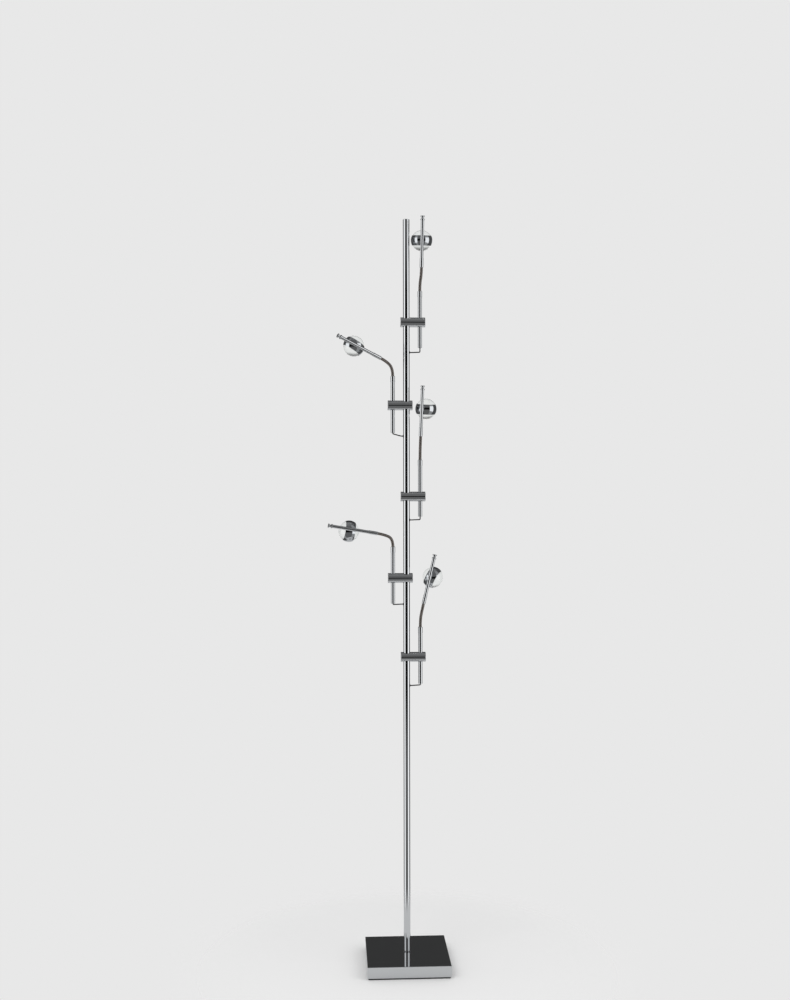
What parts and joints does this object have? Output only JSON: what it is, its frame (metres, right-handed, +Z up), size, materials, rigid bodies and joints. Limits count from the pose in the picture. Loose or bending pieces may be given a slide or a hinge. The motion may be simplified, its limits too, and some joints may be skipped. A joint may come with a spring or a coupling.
{
  "type": "tree floor lamp",
  "caption": "Tree floor lamp: square base plate, slim pole and small arms clamped on alternate sides, each with a bendable neck and a spot that shines through a clear glass ball.",
  "frame": {"origin": "centre of the base pad's underside, on the floor and under the pole's axis", "axes": "+Z up along the pole, +X to the right as seen from the front, +Y to the back, where the lamps shine"},
  "size_m": [0.29, 0.201, 1.8049],
  "materials": {
    "chrome": "polished",
    "neck_chrome": "polished, ribbed",
    "strap_chrome": "mirror-polished",
    "clear_glass": "clear, polished",
    "black_rubber": "matt",
    "lead_sheath": "satin",
    "nylon": "matt",
    "dark_steel": "blackened",
    "led_holder": "turned"
  },
  "bodies": {
    "base_and_pole": {"base_plate": "chrome", "base_pad": "black_rubber", "pole": "chrome", "wiring_loom": "lead_sheath", "rubber_grommets": "black_rubber"},
    "slider_1": {"pole_liner_1": "nylon"},
    "clamp_1": {"clamp_barrel_1": "chrome", "clamp_screws_1": "dark_steel"},
    "arm_1": {"arm_tube_1": "chrome", "lead_1": "lead_sheath", "neck_1": "neck_chrome"},
    "head_1": {"head_rod_1": "chrome", "tip_knob_1": "chrome", "led_1": "led_holder"},
    "lens_1": {"strap_1": "strap_chrome", "ball_1": "clear_glass"},
    "slider_2": {"pole_liner_2": "nylon"},
    "clamp_2": {"clamp_barrel_2": "chrome", "clamp_screws_2": "dark_steel"},
    "arm_2": {"arm_tube_2": "chrome", "lead_2": "lead_sheath", "neck_2": "neck_chrome"},
    "head_2": {"head_rod_2": "chrome", "tip_knob_2": "chrome", "led_2": "led_holder"},
    "lens_2": {"strap_2": "strap_chrome", "ball_2": "clear_glass"},
    "slider_3": {"pole_liner_3": "nylon"},
    "clamp_3": {"clamp_barrel_3": "chrome", "clamp_screws_3": "dark_steel"},
    "arm_3": {"arm_tube_3": "chrome", "lead_3": "lead_sheath", "neck_3": "neck_chrome"},
    "head_3": {"head_rod_3": "chrome", "tip_knob_3": "chrome", "led_3": "led_holder"},
    "lens_3": {"strap_3": "strap_chrome", "ball_3": "clear_glass"},
    "slider_4": {"pole_liner_4": "nylon"},
    "clamp_4": {"clamp_barrel_4": "chrome", "clamp_screws_4": "dark_steel"},
    "arm_4": {"arm_tube_4": "chrome", "lead_4": "lead_sheath", "neck_4": "neck_chrome"},
    "head_4": {"head_rod_4": "chrome", "tip_knob_4": "chrome", "led_4": "led_holder"},
    "lens_4": {"strap_4": "strap_chrome", "ball_4": "clear_glass"},
    "slider_5": {"pole_liner_5": "nylon"},
    "clamp_5": {"clamp_barrel_5": "chrome", "clamp_screws_5": "dark_steel"},
    "arm_5": {"arm_tube_5": "chrome", "lead_5": "lead_sheath", "neck_5": "neck_chrome"},
    "head_5": {"head_rod_5": "chrome", "tip_knob_5": "chrome", "led_5": "led_holder"},
    "lens_5": {"strap_5": "strap_chrome", "ball_5": "clear_glass"}
  },
  "joints": [
    {"name": "clamp_slide_1", "type": "slide", "parent": "base_and_pole", "child": "slider_1", "axis": [0, 0, 1], "range_m": [-0.015, 0.015], "deforming": ["lead_1"]},
    {"name": "clamp_turn_1", "type": "hinge", "parent": "slider_1", "child": "clamp_1", "pos_m": [0, 0, 1.551], "axis": [0, 0, 1], "range_deg": [-40, 40]},
    {"name": "arm_turn_1", "type": "hinge", "parent": "clamp_1", "child": "arm_1", "pos_m": [0.033, 0, 1.551], "axis": [0, 0, 1], "range_deg": [-70, 20]},
    {"name": "neck_bend_1", "type": "hinge", "parent": "arm_1", "child": "head_1", "pos_m": [0.03475, -0.00092, 1.65537], "axis": [0.9979, 0.0652, 0], "range_deg": [-25, 60], "deforming": ["neck_1"]},
    {"name": "ball_turn_1", "type": "hinge", "parent": "head_1", "child": "lens_1", "pos_m": [0.03743, -0.01619, 1.74698], "axis": [0.0344, 0.9842, 0.1736], "continuous": true},
    {"name": "clamp_slide_2", "type": "slide", "parent": "base_and_pole", "child": "slider_2", "axis": [0, 0, 1], "range_m": [-0.015, 0.015], "deforming": ["lead_2"]},
    {"name": "clamp_turn_2", "type": "hinge", "parent": "slider_2", "child": "clamp_2", "pos_m": [0, 0, 1.35], "axis": [0, 0, 1], "range_deg": [-40, 40]},
    {"name": "arm_turn_2", "type": "hinge", "parent": "clamp_2", "child": "arm_2", "pos_m": [-0.033, 0, 1.35], "axis": [0, 0, -1], "range_deg": [-60, 60]},
    {"name": "neck_bend_2", "type": "hinge", "parent": "arm_2", "child": "head_2", "pos_m": [-0.04001, -0.00192, 1.44737], "axis": [0.3601, -0.9329, 0], "range_deg": [-60, 20], "deforming": ["neck_2"]},
    {"name": "ball_turn_2", "type": "hinge", "parent": "head_2", "child": "lens_2", "pos_m": [-0.1176, -0.03108, 1.48893], "axis": [-0.3067, 0.944, 0.1219], "continuous": true},
    {"name": "clamp_slide_3", "type": "slide", "parent": "base_and_pole", "child": "slider_3", "axis": [0, 0, 1], "range_m": [-0.015, 0.015], "deforming": ["lead_3"]},
    {"name": "clamp_turn_3", "type": "hinge", "parent": "slider_3", "child": "clamp_3", "pos_m": [0, 0, 1.1295], "axis": [0, 0, 1], "range_deg": [-40, 40]},
    {"name": "arm_turn_3", "type": "hinge", "parent": "clamp_3", "child": "arm_3", "pos_m": [0.033, 0, 1.1295], "axis": [0, 0, 1], "range_deg": [-60, 20]},
    {"name": "neck_bend_3", "type": "hinge", "parent": "arm_3", "child": "head_3", "pos_m": [0.03332, -0.00078, 1.24698], "axis": [0.9793, 0.2023, 0], "range_deg": [-25, 60], "deforming": ["neck_3"]},
    {"name": "ball_turn_3", "type": "hinge", "parent": "head_3", "child": "lens_3", "pos_m": [0.03613, -0.01362, 1.33903], "axis": [0.4037, 0.9067, 0.1219], "continuous": true},
    {"name": "clamp_slide_4", "type": "slide", "parent": "base_and_pole", "child": "slider_4", "axis": [0, 0, 1], "range_m": [-0.015, 0.015], "deforming": ["lead_4"]},
    {"name": "clamp_turn_4", "type": "hinge", "parent": "slider_4", "child": "clamp_4", "pos_m": [0, 0, 0.9325], "axis": [0, 0, 1], "range_deg": [-40, 40]},
    {"name": "arm_turn_4", "type": "hinge", "parent": "clamp_4", "child": "arm_4", "pos_m": [-0.033, 0, 0.9325], "axis": [0, 0, -1], "range_deg": [-60, 60]},
    {"name": "neck_bend_4", "type": "hinge", "parent": "arm_4", "child": "head_4", "pos_m": [-0.04286, -0.00073, 1.03224], "axis": [0.1622, -0.9868, 0], "range_deg": [-70, 10], "deforming": ["neck_4"]},
    {"name": "ball_turn_4", "type": "hinge", "parent": "head_4", "child": "lens_4", "pos_m": [-0.1335, -0.01473, 1.051], "axis": [-0.1879, 0.9667, -0.1736], "continuous": true},
    {"name": "clamp_slide_5", "type": "slide", "parent": "base_and_pole", "child": "slider_5", "axis": [0, 0, 1], "range_m": [-0.015, 0.015], "deforming": ["lead_5"]},
    {"name": "clamp_turn_5", "type": "hinge", "parent": "slider_5", "child": "clamp_5", "pos_m": [0, 0, 0.7415], "axis": [0, 0, 1], "range_deg": [-40, 40]},
    {"name": "arm_turn_5", "type": "hinge", "parent": "clamp_5", "child": "arm_5", "pos_m": [0.033, 0, 0.7415], "axis": [0, 0, 1], "range_deg": [-60, 45]},
    {"name": "neck_bend_5", "type": "hinge", "parent": "arm_5", "child": "head_5", "pos_m": [0.03493, -0.00022, 0.84235], "axis": [0.1806, 0.9836, 0], "range_deg": [-15, 60], "deforming": ["neck_5"]},
    {"name": "ball_turn_5", "type": "hinge", "parent": "head_5", "child": "lens_5", "pos_m": [0.05529, -0.00382, 0.93304], "axis": [0.3254, 0.9449, -0.0349], "continuous": true}
  ]
}
